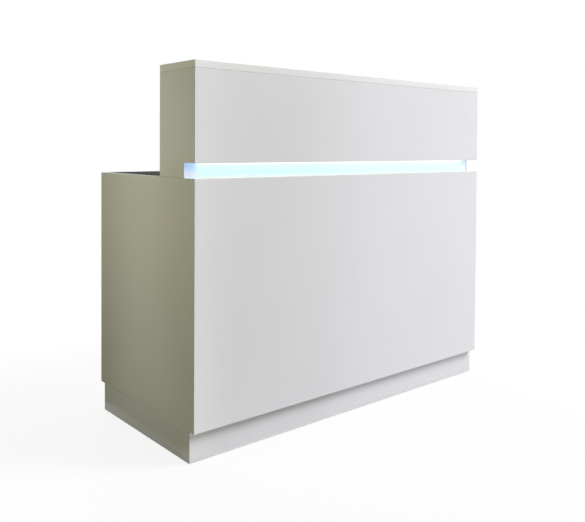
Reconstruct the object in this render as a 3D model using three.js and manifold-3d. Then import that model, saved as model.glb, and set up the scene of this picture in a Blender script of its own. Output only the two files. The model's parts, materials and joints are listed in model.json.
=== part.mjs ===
// A reception desk: a white lacquered counter with a lit slot, and a staff side with a drawer pedestal.
// Millimetres. +X runs along the front, +Y towards the staff side, +Z up. Left and right are as the visitor
// sees them. The origin is on the floor, under the middle of the desk.
import * as THREE from "three";
import { mergeVertices } from "three/addons/utils/BufferGeometryUtils.js";
import Module from "manifold-3d";

// Overall sizes
const width = 1200;
const depth = 550;
const height = 1050;
const bodyHeight = 745;
const hutchDepth = 180;

// Boards and the joints between them
const board = 18;
const topBoard = 20;
const worktopBoard = 25;
const arris = 1;
const seam = 0.25;
const mitreGap = 0.3;

// Lit slot between the body and the hutch
const slotHeight = 40;
const slotDepth = 47;
const diffuserThickness = 4;
const grooveDepth = 3;
const ledThrow = 35;
const ledEndGap = 30;
const angleSheet = 1.5;
const angleFoot = 20;
const angleRise = 28;
const tapeHeight = 10;
const tapeThickness = 1;
const chipSize = 5;
const chipRise = 1.5;
const chipPitch = 100 / 3;
const driverLength = 150;
const driverDepth = 44;
const driverHeight = 28;
const driverX = 260;
const driverEase = 2;
const driverEar = 12;
const driverEarThickness = 3;
const leadDiameter = 4;

// Switch and cable gland in the back rail of the light box
const switchX = 60;
const switchBodyLength = 19;
const switchBodyHeight = 12.5;
const switchBodyDepth = 24;
const switchBezelRim = 2;
const switchBezelThickness = 1.5;
const rockerWall = 1.5;
const rockerRun = 0.25;
const rockerDepth = 5;
const rockerRise = 3;
const rockerTilt = 8;
const rockerShoulder = 1;
const glandX = 140;
const glandBore = 9;
const glandWall = 2.5;
const glandFlange = 4;
const glandFlangeThickness = 2;

// Hutch interior
const dividerSetback = 5;

// Plinth and levelling feet
const plinthHeight = 85;
const plinthFrontSetback = 22;
const plinthRearSetback = 25;
const floorGap = 2;
const battenWidth = 60;
const battenHeight = 45;
const battenInset = 30;
const footInset = 60;
const footPadDiameter = 40;
const footPadHeight = 9;
const footPadEase = 2;
const footHexAcross = 17;
const footHexHeight = 6;
const studDiameter = 8;
const studCover = 6;
const studRun = 0.3;

// Cable grommet in the worktop
const grommetX = 250;
const grommetBehindHutch = 70;
const grommetHole = 60;
const grommetWall = 2;
const grommetSleeve = 18;
const grommetFlange = 5;
const grommetFlangeThickness = 2;
const grommetLedge = 2;
const capThickness = 3;
const capRun = 0.3;
const cableNotchWidth = 22;
const cableNotchDepth = 14;

// Drawer pedestal
const pedestalWidth = 400;
const pedestalSetback = 30;
const frontSideGap = 2;
const frontGap = 3;
const shallowFront = 150;
const traySheet = 1.25;
const trayBackGap = 53.75;
const trayTopDrop = 42;
const trayRise = 8;
const trayHem = 8;
const slideThickness = 12.5;
const slideHeight = 45;
const slideShortfall = 30;
const slideSheet = 1.25;
const slideFlange = 9;
const slideRise = 10;
const slideSetback = 3;
const slideRun = 0.3;
const slideWebGap = 1.5;
const handleLength = 160;
const handleProjection = 26;
const handleBar = 8;
const handleHeight = 12;
const handleCorner = 10;
const handleEase = 0.75;

// Cam lock of the top drawer
const lockX = 120;
const lockDrop = 25;
const lockBody = 16;
const lockRosette = 22;
const lockRosetteThickness = 2;
const lockTail = 4;
const plugDiameter = 11;
const plugRun = 0.25;
const tongueLength = 22;
const tongueWidth = 11;
const tongueThickness = 2;
const tongueGap = 2;
const tongueEase = 0.5;
const keywayWidth = 1;
const keywayHeight = 7;
const keywayDepth = 4;
const strikeWidth = 40;
const strikeFoot = 20;
const strikeDrop = 15;
const strikeSheet = 1.5;
const strikeClearance = 1;

// Smoothness of round pieces
const roundSegments = 24;
const smallSegments = 16;
const hexagonSides = 6;
const tubeSides = 8;
const cornerSegments = 5;
const leadSteps = 30;
const mergeDistance = 1e-4;

// Places that several pieces share
const innerHalf = width / 2 - board - seam;
const deckTop = plinthHeight + board;
const underWorktop = bodyHeight - worktopBoard;
const hutchHeight = height - bodyHeight;
const plinthTop = plinthHeight - seam;
const plinthRear = depth - plinthRearSetback;
const partitionX = -width / 2 + board + pedestalWidth;
const trayDepth = depth - 2 * board - seam - pedestalSetback - trayBackGap;
const slideLength = trayDepth - slideShortfall;
const ledFace = slotDepth + diffuserThickness + ledThrow;
const ledHalf = width / 2 - board - ledEndGap;
const sides = { left: -1, right: 1 };

function finish(color, roughness, metalness) {
  return new THREE.MeshStandardMaterial({ color, roughness, metalness });
}

const whiteLacquer = finish(0xececea, 0.12, 0);
const whiteMelamine = finish(0xe4e4e1, 0.45, 0);
const darkLaminate = finish(0x2b2a27, 0.5, 0);
const opalAcrylic = finish(0xe2ffff, 0.35, 0);
opalAcrylic.emissive.set(0xc8ffff);
const aluminium = finish(0xb9bcbe, 0.35, 0.9);
const zincSteel = finish(0xa9adaf, 0.4, 0.85);
const whiteSteel = finish(0xdcdcd8, 0.4, 0);
const nickel = finish(0xc4c2bd, 0.22, 0.95);
const blackPlastic = finish(0x1a1a1b, 0.4, 0);
const greyPlastic = finish(0x8d9092, 0.5, 0);
const blackRubber = finish(0x141414, 0.8, 0);
const whiteCable = finish(0xe8e8e4, 0.5, 0);
const ledTape = finish(0xf2ecc8, 0.5, 0);
const softwood = finish(0xc9a877, 0.7, 0);

const wasm = await Module();
wasm.setup();

// A closed three.js geometry as a solid that can be cut and joined
function solidOf(geometry) {
  const bare = new THREE.BufferGeometry();
  bare.setAttribute("position", geometry.getAttribute("position"));
  bare.setIndex(geometry.index);
  const merged = mergeVertices(bare, mergeDistance);
  const vertProperties = new Float32Array(merged.getAttribute("position").array);
  const triVerts = new Uint32Array(merged.index.array);
  return new wasm.Manifold(new wasm.Mesh({ numProp: 3, vertProperties, triVerts }));
}

function geometryOf(solid) {
  const mesh = solid.getMesh();
  const geometry = new THREE.BufferGeometry();
  geometry.setAttribute("position", new THREE.BufferAttribute(mesh.vertProperties, 3));
  geometry.setIndex(new THREE.BufferAttribute(mesh.triVerts, 1));
  const flat = geometry.toNonIndexed();
  flat.computeVertexNormals();
  return flat;
}

function cut(base, ...tools) {
  return geometryOf(tools.reduce((solid, tool) => solid.subtract(solidOf(tool)), solidOf(base)));
}

function join(base, ...others) {
  return geometryOf(others.reduce((solid, other) => solid.add(solidOf(other)), solidOf(base)));
}

const axisX = new THREE.Vector3(1, 0, 0);
const axisY = new THREE.Vector3(0, 1, 0);
const axisZ = new THREE.Vector3(0, 0, 1);
const extrudeFrames = {
  x: new THREE.Matrix4().makeBasis(axisY, axisZ, axisX),
  y: new THREE.Matrix4().makeBasis(axisX, axisZ, axisY.clone().negate()),
  z: new THREE.Matrix4(),
};

// An outline carried along an axis, between two places on it. The outline is in (y, z), (x, z) or (x, y)
// for the axes x, y and z, and ease takes the arris off both ends.
function prism(axis, outline, from, to, ease = 0) {
  const drawn = outline instanceof THREE.Shape;
  const shape = drawn ? outline : new THREE.Shape(outline.map(([u, v]) => new THREE.Vector2(u, v)));
  const geometry = new THREE.ExtrudeGeometry(shape, {
    depth: to - from - 2 * ease,
    bevelEnabled: ease > 0,
    bevelSize: ease,
    bevelThickness: ease,
    bevelOffset: -ease,
    bevelSegments: 1,
    curveSegments: cornerSegments,
  });
  const start = axis === "y" ? -to : from;
  geometry.translate(0, 0, start + ease);
  return geometry.applyMatrix4(extrudeFrames[axis]);
}

function rectangle([u0, u1], [v0, v1]) {
  return [
    [u0, v0],
    [u1, v0],
    [u1, v1],
    [u0, v1],
  ];
}

// The same outline with a small flat in place of each sharp corner
function easedOutline(outline, ease) {
  return outline.flatMap((point, i) => {
    const here = new THREE.Vector2(...point);
    const towards = [outline.at(i - 1), outline[(i + 1) % outline.length]];
    return towards.map((end) => {
      const way = new THREE.Vector2(...end).sub(here).setLength(ease);
      return here.clone().add(way).toArray();
    });
  });
}

function box(x, y, z) {
  return prism("z", rectangle(x, y), ...z);
}

function easedBoard(x, y, z, ease = arris) {
  return prism("z", easedOutline(rectangle(x, y), ease), ...z, ease);
}

// A round bar along Z, about the origin
function roundBar(radius, length, segments) {
  return new THREE.CylinderGeometry(radius, radius, length, segments).rotateX(Math.PI / 2);
}

// A profile of (radius, height) points turned about the Z axis, going up its outside
function turned(profile, segments) {
  const points = profile.map(([r, h]) => new THREE.Vector2(r, h));
  return new THREE.LatheGeometry(points, segments).rotateX(Math.PI / 2);
}

// A turned ring: its profile closes on itself instead of ending on the axis
function turnedRing(profile, segments) {
  return turned([...profile, profile[0]], segments);
}

// Turns a piece made about Z so that its top points to the staff side, along +Y
function facingStaff(geometry) {
  return geometry.rotateX(-Math.PI / 2);
}

// The waste sawn off a board's end where it meets its neighbour at 45 degrees. place takes a distance along
// the board from the outer corner, and one through its thickness from the outer face, to (x, y).
function mitreWaste(place, z) {
  const over = board;
  const gap = mitreGap * Math.SQRT1_2;
  const waste = [
    [gap - over, -over],
    [board + over + gap, board + over],
    [gap - over, board + over],
  ];
  return prism("z", waste.map(([along, through]) => place(along, through)), ...z);
}

function add(group, name, geometry, material, x = 0, y = 0, z = 0) {
  const mesh = new THREE.Mesh(geometry, material);
  mesh.name = name;
  mesh.position.set(x, y, z);
  group.add(mesh);
  return mesh;
}

function addGroup(parent, x, y, z) {
  const group = new THREE.Group();
  group.position.set(x, y, z);
  parent.add(group);
  return group;
}

// A board along the front whose two ends are mitred to the side boards
function mitredFront(y, z) {
  const front = easedBoard([-width / 2, width / 2], [y, y + board], z);
  const reach = [z[0] - board, z[1] + board];
  const wastes = Object.values(sides).map((side) =>
    mitreWaste((along, through) => [side * (width / 2 - along), y + through], reach),
  );
  return cut(front, ...wastes);
}

function outerFaces(side) {
  return [(side * width) / 2, side * (width / 2 - board)].sort((a, b) => a - b);
}

// A side board whose front edge is mitred to the front board, which starts at y[0]
function mitredSide(side, y, z) {
  const panel = easedBoard(outerFaces(side), y, z);
  const reach = [z[0] - board, z[1] + board];
  const place = (along, through) => [side * (width / 2 - through), y[0] + along];
  return cut(panel, mitreWaste(place, reach));
}

// The recessed plinth, its cross-members, and the feet that level the desk
function addPlinth(body) {
  const z = [floorGap, plinthTop];
  const inside = [plinthFrontSetback + board + seam, plinthRear - board - seam];
  add(body, "plinth_front", mitredFront(plinthFrontSetback, z), whiteLacquer);
  for (const [word, side] of Object.entries(sides)) {
    add(body, `plinth_${word}_end`, mitredSide(side, [plinthFrontSetback, plinthRear], z), whiteLacquer);
    addBatten(body, word, side, inside);
  }
  const rear = easedBoard([-innerHalf, innerHalf], [plinthRear - board, plinthRear], z);
  add(body, "plinth_rear", rear, whiteLacquer);
  add(body, "plinth_brace", easedBoard([-board / 2, board / 2], inside, z), whiteMelamine);
}

function addBatten(body, word, side, y) {
  const x = side * (innerHalf - battenInset - battenWidth / 2);
  const z = [plinthTop - battenHeight, plinthTop];
  const batten = easedBoard([-battenWidth / 2, battenWidth / 2], y, z);
  const feet = { front: y[0] + footInset, rear: y[1] - footInset };
  const bores = Object.values(feet).map((footY) => {
    const bore = roundBar(studDiameter / 2 + studRun, 2 * battenHeight, smallSegments);
    return bore.translate(0, footY, plinthTop - battenHeight / 2);
  });
  add(body, `${word}_batten`, cut(batten, ...bores), softwood, x);
  for (const [end, footY] of Object.entries(feet)) {
    add(body, `${end}_${word}_foot`, levellingFoot(), zincSteel, x, footY);
  }
}

// A levelling foot: a domed pad, a hexagon for the spanner and a threaded stud
function levellingFoot() {
  const pad = footPadDiameter / 2;
  const stud = studDiameter / 2;
  const hexTop = footPadHeight + footHexHeight;
  const turnedFoot = turned(
    [
      [0, 0],
      [pad - footPadEase, 0],
      [pad, footPadEase],
      [pad, footPadHeight / 2],
      [footHexAcross / 2, footPadHeight],
      [stud, footPadHeight],
      [stud, plinthTop - studCover - arris],
      [stud - arris, plinthTop - studCover],
      [0, plinthTop - studCover],
    ],
    smallSegments,
  );
  const corner = footHexAcross / 2 / Math.cos(Math.PI / 6);
  const hexagon = roundBar(corner, footHexHeight, hexagonSides);
  return join(turnedFoot, hexagon.translate(0, 0, hexTop - footHexHeight / 2));
}

// The lower body: mitred front and sides, deck, the base board under the hutch, worktop and partition
function addBody(body) {
  const z = [plinthHeight, bodyHeight];
  add(body, "front_panel", mitredFront(0, z), whiteLacquer);
  for (const [word, side] of Object.entries(sides)) {
    add(body, `${word}_side_panel`, mitredSide(side, [0, depth], z), whiteLacquer);
  }
  const between = [-innerHalf, innerHalf];
  const behindFront = board + seam;
  const deck = easedBoard(between, [behindFront, depth], [plinthHeight, deckTop - seam]);
  add(body, "base_deck", deck, whiteMelamine);

  const groove = [slotDepth - seam, slotDepth + diffuserThickness + seam];
  const baseOutline = [
    [behindFront, bodyHeight - board],
    [hutchDepth, bodyHeight - board],
    [hutchDepth, bodyHeight],
    [groove[1], bodyHeight],
    [groove[1], bodyHeight - grooveDepth],
    [groove[0], bodyHeight - grooveDepth],
    [groove[0], bodyHeight],
    [behindFront, bodyHeight],
  ];
  add(body, "counter_base", prism("x", baseOutline, ...between), whiteLacquer);

  const rearOfHutch = hutchDepth + seam;
  const worktop = easedBoard(between, [rearOfHutch, depth], [underWorktop, bodyHeight]);
  const grommetY = hutchDepth + grommetBehindHutch;
  const rebate = grommetFlangeThickness + 2 * seam;
  const hole = roundBar(grommetHole / 2 + seam, 4 * worktopBoard, roundSegments);
  const recess = roundBar(grommetHole / 2 + grommetFlange + seam, 2 * rebate, roundSegments);
  const holes = [hole, recess].map((tool) => tool.translate(grommetX, grommetY, bodyHeight));
  add(body, "worktop", cut(worktop, ...holes), darkLaminate);
  addGrommet(addGroup(body, grommetX, grommetY, bodyHeight - rebate));

  const partitionOutline = [
    [behindFront, deckTop],
    [depth - pedestalSetback, deckTop],
    [depth - pedestalSetback, underWorktop - seam],
    [hutchDepth, underWorktop - seam],
    [hutchDepth, bodyHeight - board - seam],
    [behindFront, bodyHeight - board - seam],
  ];
  const partition = prism("x", partitionOutline, 0, board, arris);
  add(body, "pedestal_partition", partition, whiteMelamine, partitionX);
}

// A cable grommet let in flush: a flanged ring, and a cap with a cable notch that turns in it
function addGrommet(grommet) {
  const outer = grommetHole / 2;
  const bore = outer - grommetWall;
  const lip = outer + grommetFlange;
  const top = grommetFlangeThickness + seam;
  const ledge = top - capThickness - capRun;
  const ring = turnedRing(
    [
      [outer, -grommetSleeve],
      [outer, seam],
      [lip, seam],
      [lip - arris, top],
      [bore, top],
      [bore, ledge],
      [bore - grommetLedge, ledge],
      [bore - grommetLedge, ledge - grommetLedge],
      [bore, ledge - 2 * grommetLedge],
      [bore, -grommetSleeve],
    ],
    roundSegments,
  );
  add(grommet, "grommet_ring", ring, greyPlastic);
  const rim = bore - capRun;
  const disc = roundBar(rim, capThickness, roundSegments);
  const notchX = [-cableNotchWidth / 2, cableNotchWidth / 2];
  const notch = easedBoard(notchX, [rim - cableNotchDepth, 2 * rim], [-capThickness, capThickness]);
  add(grommet, "grommet_cap", cut(disc, notch), greyPlastic, 0, 0, top - capThickness / 2);
}

// The hutch: a mitred box that stands on the body, open to the staff side, its front held clear of the slot
function addHutch(hutch) {
  const underTop = hutchHeight - topBoard - seam;
  const between = [-innerHalf, innerHalf];
  const behindFront = board + seam;
  add(hutch, "hutch_front", mitredFront(0, [slotHeight, underTop]), whiteLacquer);
  const notchDepth = slotDepth + diffuserThickness + seam;
  const endOutline = [
    [notchDepth, seam],
    [hutchDepth, seam],
    [hutchDepth, underTop],
    [0, underTop],
    [0, slotHeight],
    [notchDepth, slotHeight],
  ];
  for (const [word, side] of Object.entries(sides)) {
    const end = prism("x", endOutline, ...outerFaces(side), arris);
    const place = (along, through) => [side * (width / 2 - through), along];
    add(hutch, `hutch_${word}_end`, cut(end, mitreWaste(place, [0, hutchHeight])), whiteLacquer);
  }
  const top = easedBoard([-width / 2, width / 2], [0, hutchDepth], [hutchHeight - topBoard, hutchHeight]);
  add(hutch, "hutch_top", top, whiteLacquer);

  const shelfTop = slotHeight + board;
  const groove = [slotDepth - seam, slotDepth + diffuserThickness + seam];
  const shelfOutline = [
    [behindFront, slotHeight],
    [groove[0], slotHeight],
    [groove[0], slotHeight + grooveDepth],
    [groove[1], slotHeight + grooveDepth],
    [groove[1], slotHeight],
    [hutchDepth, slotHeight],
    [hutchDepth, shelfTop],
    [behindFront, shelfTop],
  ];
  add(hutch, "hutch_shelf", prism("x", shelfOutline, ...between), whiteLacquer);
  const dividerY = [behindFront, hutchDepth - dividerSetback];
  const divider = easedBoard([-board / 2, board / 2], dividerY, [shelfTop + seam, underTop]);
  add(hutch, "hutch_divider", divider, whiteLacquer);
}

// The light box under the hutch: a diffuser from end to end, tongued into its grooves between the end boards,
// LED tape on an angle, driver, and the back rail
function addLightBox(hutch) {
  const between = [-innerHalf, innerHalf];
  const diffuserY = [slotDepth, slotDepth + diffuserThickness];
  const strip = box([-width / 2, width / 2], diffuserY, [seam, slotHeight - seam]);
  const tongues = box(between, diffuserY, [seam - grooveDepth, slotHeight + grooveDepth - seam]);
  add(hutch, "slot_diffuser", join(strip, tongues), opalAcrylic);

  const angleOutline = [
    [ledFace, seam],
    [ledFace + angleFoot, seam],
    [ledFace + angleFoot, seam + angleSheet],
    [ledFace + angleSheet, seam + angleSheet],
    [ledFace + angleSheet, seam + angleRise],
    [ledFace, seam + angleRise],
  ];
  add(hutch, "led_angle", prism("x", angleOutline, -ledHalf, ledHalf), aluminium);
  add(hutch, "led_tape", ledTapeSolid(), ledTape);

  const driverY = ledFace + angleFoot + driverDepth / 2 + 2 * seam;
  add(hutch, "led_driver", driverSolid(), greyPlastic, driverX, driverY, seam);
  add(hutch, "led_lead", leadTube(driverY), whiteCable);

  const railY = [hutchDepth - board, hutchDepth];
  const rail = easedBoard(between, railY, [seam, slotHeight - seam]);
  const middle = slotHeight / 2;
  const switchHole = box(
    [switchX - switchBodyLength / 2 - seam, switchX + switchBodyLength / 2 + seam],
    [railY[0] - board, railY[1] + board],
    [middle - switchBodyHeight / 2 - seam, middle + switchBodyHeight / 2 + seam],
  );
  const glandRadius = glandBore / 2 + glandWall + seam;
  const glandHole = facingStaff(roundBar(glandRadius, 2 * board, smallSegments));
  glandHole.translate(glandX, hutchDepth - board / 2, middle);
  add(hutch, "light_box_back", cut(rail, switchHole, glandHole), whiteLacquer);
  addSwitch(addGroup(hutch, switchX, hutchDepth, middle));
  add(hutch, "cable_gland", facingStaff(glandSolid()), blackRubber, glandX, hutchDepth, middle);
}

// Flexible LED tape: a thin strip with square chips along its face
function ledTapeSolid() {
  const middle = slotHeight / 2;
  const back = ledFace - seam;
  const strip = box(
    [-ledHalf, ledHalf],
    [back - tapeThickness, back],
    [middle - tapeHeight / 2, middle + tapeHeight / 2],
  );
  const count = Math.floor((2 * ledHalf) / chipPitch);
  const chips = Array.from({ length: count }, (_, i) => {
    const x = (i - (count - 1) / 2) * chipPitch;
    return box(
      [x - chipSize / 2, x + chipSize / 2],
      [back - tapeThickness - chipRise, back - tapeThickness / 2],
      [middle - chipSize / 2, middle + chipSize / 2],
    );
  });
  return join(strip, ...chips);
}

// The LED driver: an eased case with a screw ear at each end
function driverSolid() {
  const half = driverLength / 2;
  const caseY = [-driverDepth / 2, driverDepth / 2];
  const body = easedBoard([-half, half], caseY, [0, driverHeight], driverEase);
  const ears = box([-half - driverEar, half + driverEar], caseY.map((y) => y / 2), [0, driverEarThickness]);
  return join(body, ears);
}

// The low-voltage lead, from the driver's end round the end of the angle to the tape
function leadTube(driverY) {
  const rest = seam + leadDiameter;
  const start = driverX + driverLength / 2 + seam;
  const besideEar = driverY + driverDepth / 2 - 2 * leadDiameter;
  const tapeEnd = ledHalf + seam;
  const turnX = tapeEnd + 4 * leadDiameter;
  const tapeY = ledFace - seam - tapeThickness / 2;
  const middle = slotHeight / 2;
  const route = new THREE.CatmullRomCurve3(
    [
      [start, besideEar, rest],
      [start + 6 * leadDiameter, besideEar, rest],
      [tapeEnd - 12 * leadDiameter, besideEar, rest],
      [turnX, besideEar - 6 * leadDiameter, rest],
      [turnX + leadDiameter, ledFace + 2 * leadDiameter, (rest + middle) / 2],
      [turnX - 2 * leadDiameter, tapeY, middle],
      [tapeEnd, tapeY, middle],
    ].map((point) => new THREE.Vector3(...point)),
  );
  const section = new THREE.Shape().absarc(0, 0, leadDiameter / 2, 0, 2 * Math.PI);
  const sectionPoints = section.getSpacedPoints(tubeSides).slice(0, tubeSides);
  const wire = new THREE.Shape(sectionPoints);
  return new THREE.ExtrudeGeometry(wire, { extrudePath: route, steps: leadSteps });
}

// A rocker switch pressed into the rail from behind: a housing with a pocket, and the rocker in it
function addSwitch(place) {
  const halfLength = switchBodyLength / 2;
  const halfHeight = switchBodyHeight / 2;
  const bezelFront = seam + switchBezelThickness;
  const barrel = box([-halfLength, halfLength], [-switchBodyDepth, seam], [-halfHeight, halfHeight]);
  const rim = switchBezelRim;
  const bezel = box(
    [-halfLength - rim, halfLength + rim],
    [seam, bezelFront],
    [-halfHeight - rim, halfHeight + rim],
  );
  const pocketLength = halfLength - rockerWall;
  const pocketHeight = halfHeight - rockerWall;
  const pocket = box(
    [-pocketLength, pocketLength],
    [bezelFront - 2 * rockerDepth, 2 * bezelFront],
    [-pocketHeight, pocketHeight],
  );
  add(place, "switch_housing", cut(join(barrel, bezel), pocket), blackPlastic);

  const reach = pocketLength - 2 * rockerRun;
  const rockerOutline = [
    [-reach, -rockerShoulder],
    [0, -rockerDepth],
    [reach, -rockerShoulder],
    [reach, rockerRise],
    [0, rockerRise / 2],
    [-reach, rockerRise],
  ];
  const rockerZ = [rockerRun - pocketHeight, pocketHeight - rockerRun];
  const rocker = add(place, "switch_rocker", prism("z", rockerOutline, ...rockerZ), blackPlastic);
  rocker.rotation.z = THREE.MathUtils.degToRad(rockerTilt);
}

// A rubber gland in the rail, with a flange on the staff side, where a mains lead would come in
function glandSolid() {
  const bore = glandBore / 2;
  const wall = bore + glandWall;
  return turnedRing(
    [
      [wall, -board],
      [wall, seam],
      [wall + glandFlange, seam],
      [wall, seam + glandFlangeThickness],
      [bore, seam + glandFlangeThickness],
      [bore, -board],
    ],
    smallSegments,
  );
}

// Three drawers between the left side panel and the partition, counted from the deck up
function addPedestal(pedestal) {
  const clear = underWorktop - deckTop;
  const drawers = [
    ["file_drawer", clear - 2 * shallowFront - 4 * frontGap],
    ["middle_drawer", shallowFront],
    ["top_drawer", shallowFront],
  ];
  let bottom = frontGap;
  for (const [name, frontHeight] of drawers) {
    addRails(pedestal, name, bottom);
    const drawer = addGroup(pedestal, 0, 0, bottom);
    addDrawer(drawer, name, frontHeight);
    if (name === "top_drawer") addLock(drawer, frontHeight);
    bottom += frontHeight + frontGap;
  }
  addStrike(addGroup(pedestal, lockX, 0, clear));
}

// The cabinet halves of a drawer's slides: C-sections screwed to the side panel and the partition
function addRails(pedestal, name, bottom) {
  const y = -board - slideSetback;
  const half = slideHeight / 2;
  for (const [word, side] of Object.entries(sides)) {
    const wall = (pedestalWidth / 2) * side;
    const section = [
      [seam, -half],
      [seam + slideFlange, -half],
      [seam + slideFlange, slideSheet - half],
      [seam + slideSheet, slideSheet - half],
      [seam + slideSheet, half - slideSheet],
      [seam + slideFlange, half - slideSheet],
      [seam + slideFlange, half],
      [seam, half],
    ].map(([u, v]) => [wall - side * u, v]);
    const z = bottom + trayRise + slideRise + half;
    add(pedestal, `${name}_${word}_rail`, prism("y", section, y - slideLength, y), zincSteel, 0, 0, z);
  }
}

// A drawer: front, handle, folded steel tray, and the drawer halves of its slides
function addDrawer(drawer, name, frontHeight) {
  const frontHalf = pedestalWidth / 2 - frontSideGap;
  let front = easedBoard([-frontHalf, frontHalf], [-board, 0], [0, frontHeight]);
  if (name === "top_drawer") front = cut(front, lockHole(frontHeight));
  add(drawer, `${name}_front`, front, whiteLacquer);
  add(drawer, `${name}_handle`, handleSolid(), aluminium, 0, seam, frontHeight / 2 - handleHeight / 2);
  const trayHeight = frontHeight - trayTopDrop - trayRise;
  add(drawer, `${name}_tray`, traySolid(trayHeight), whiteSteel, 0, -board - seam, trayRise);

  const half = slideHeight / 2 - slideSheet - slideRun;
  const y = -board - slideSetback;
  for (const [word, side] of Object.entries(sides)) {
    const wall = (pedestalWidth / 2) * side;
    const web = slideThickness - seam - slideSheet;
    const tip = seam + slideSheet + slideWebGap;
    const section = [
      [tip, -half],
      [web + slideSheet, -half],
      [web + slideSheet, half],
      [tip, half],
      [tip, half - slideSheet],
      [web, half - slideSheet],
      [web, slideSheet - half],
      [tip, slideSheet - half],
    ].map(([u, v]) => [wall - side * u, v]);
    const z = trayRise + slideRise + slideHeight / 2;
    add(drawer, `${name}_${word}_slide`, prism("y", section, y - slideLength, y), zincSteel, 0, 0, z);
  }
}

// A folded sheet tray: a channel with hemmed sides, closed by a plate at each end
function traySolid(trayHeight) {
  const half = pedestalWidth / 2 - slideThickness;
  const inner = half - traySheet;
  const hem = half - trayHem;
  const rim = trayHeight - traySheet;
  const channel = [
    [-half, 0],
    [half, 0],
    [half, trayHeight],
    [hem, trayHeight],
    [hem, rim],
    [inner, rim],
    [inner, traySheet],
    [-inner, traySheet],
    [-inner, rim],
    [-hem, rim],
    [-hem, trayHeight],
    [-half, trayHeight],
  ];
  const plate = (y) => box([-half, half], [y, y + traySheet], [0, trayHeight]);
  return join(prism("y", channel, -trayDepth, 0), plate(-trayDepth), plate(-traySheet));
}

// A bow handle cut from flat bar, with rounded outer and inner corners
function handleSolid() {
  const half = handleLength / 2;
  const inner = half - handleBar;
  const grip = handleProjection - handleBar;
  const outerCorner = handleCorner;
  const innerCorner = handleCorner / 2;
  const outline = new THREE.Shape();
  outline.moveTo(half, 0);
  outline.lineTo(half, handleProjection - outerCorner);
  outline.absarc(half - outerCorner, handleProjection - outerCorner, outerCorner, 0, Math.PI / 2);
  outline.lineTo(outerCorner - half, handleProjection);
  outline.absarc(outerCorner - half, handleProjection - outerCorner, outerCorner, Math.PI / 2, Math.PI);
  outline.lineTo(-half, 0);
  outline.lineTo(-inner, 0);
  outline.lineTo(-inner, grip - innerCorner);
  outline.absarc(innerCorner - inner, grip - innerCorner, innerCorner, Math.PI, Math.PI / 2, true);
  outline.lineTo(inner - innerCorner, grip);
  outline.absarc(inner - innerCorner, grip - innerCorner, innerCorner, Math.PI / 2, 0, true);
  outline.lineTo(inner, 0);
  return prism("z", outline, 0, handleHeight, handleEase);
}

function lockHole(frontHeight) {
  const radius = lockBody / 2 + seam;
  const hole = facingStaff(roundBar(radius, 4 * board, roundSegments));
  return hole.translate(lockX, 0, frontHeight - lockDrop);
}

// The cam lock: a housing through the drawer front, and the plug that turns its tongue up behind the strike
function addLock(drawer, frontHeight) {
  const lock = addGroup(drawer, lockX, 0, frontHeight - lockDrop);
  const rosette = seam + lockRosetteThickness;
  const tail = -board - lockTail;
  const bore = plugDiameter / 2 + plugRun;
  const housing = turnedRing(
    [
      [lockBody / 2, tail],
      [lockBody / 2, seam],
      [lockRosette / 2, seam],
      [lockRosette / 2 - arris, rosette],
      [bore, rosette],
      [bore, tail],
    ],
    roundSegments,
  );
  add(lock, "lock_housing", facingStaff(housing), nickel);

  const tongueFront = tail - tongueGap;
  const tongueRear = tongueFront - tongueThickness;
  const plug = facingStaff(
    turned(
      [
        [0, tongueRear],
        [plugDiameter / 2, tongueRear],
        [plugDiameter / 2, rosette],
        [0, rosette],
      ],
      smallSegments,
    ),
  );
  const tongueZ = [-tongueWidth / 2, tongueWidth / 2];
  const tongue = easedBoard([0, tongueLength], [tongueRear, tongueFront], tongueZ, tongueEase);
  const keyway = box(
    [-keywayWidth / 2, keywayWidth / 2],
    [rosette - keywayDepth, rosette + keywayDepth],
    [-keywayHeight / 2, keywayHeight / 2],
  );
  add(lock, "lock_plug", cut(join(plug, tongue), keyway), nickel);
}

// The strike: a small angle under the worktop that the lock's tongue rises behind
function addStrike(strike) {
  const tongueFront = -board - lockTail - tongueGap;
  const leg = [tongueFront + strikeClearance, tongueFront + strikeClearance + strikeSheet];
  const outline = [
    [leg[1], -seam],
    [leg[1] - strikeFoot, -seam],
    [leg[1] - strikeFoot, -seam - strikeSheet],
    [leg[0], -seam - strikeSheet],
    [leg[0], -strikeDrop],
    [leg[1], -strikeDrop],
  ];
  add(strike, "lock_strike", prism("x", outline, -strikeWidth / 2, strikeWidth / 2), zincSteel);
}

const desk = new THREE.Group();
const body = addGroup(desk, 0, -depth / 2, 0);
addPlinth(body);
addBody(body);
const hutch = addGroup(body, 0, 0, bodyHeight);
addHutch(hutch);
addLightBox(hutch);
addPedestal(addGroup(body, partitionX - pedestalWidth / 2, depth - pedestalSetback, deckTop));

export default desk;
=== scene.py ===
import json
import math

import bpy
import numpy as np
from mathutils import Matrix, Vector


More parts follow.
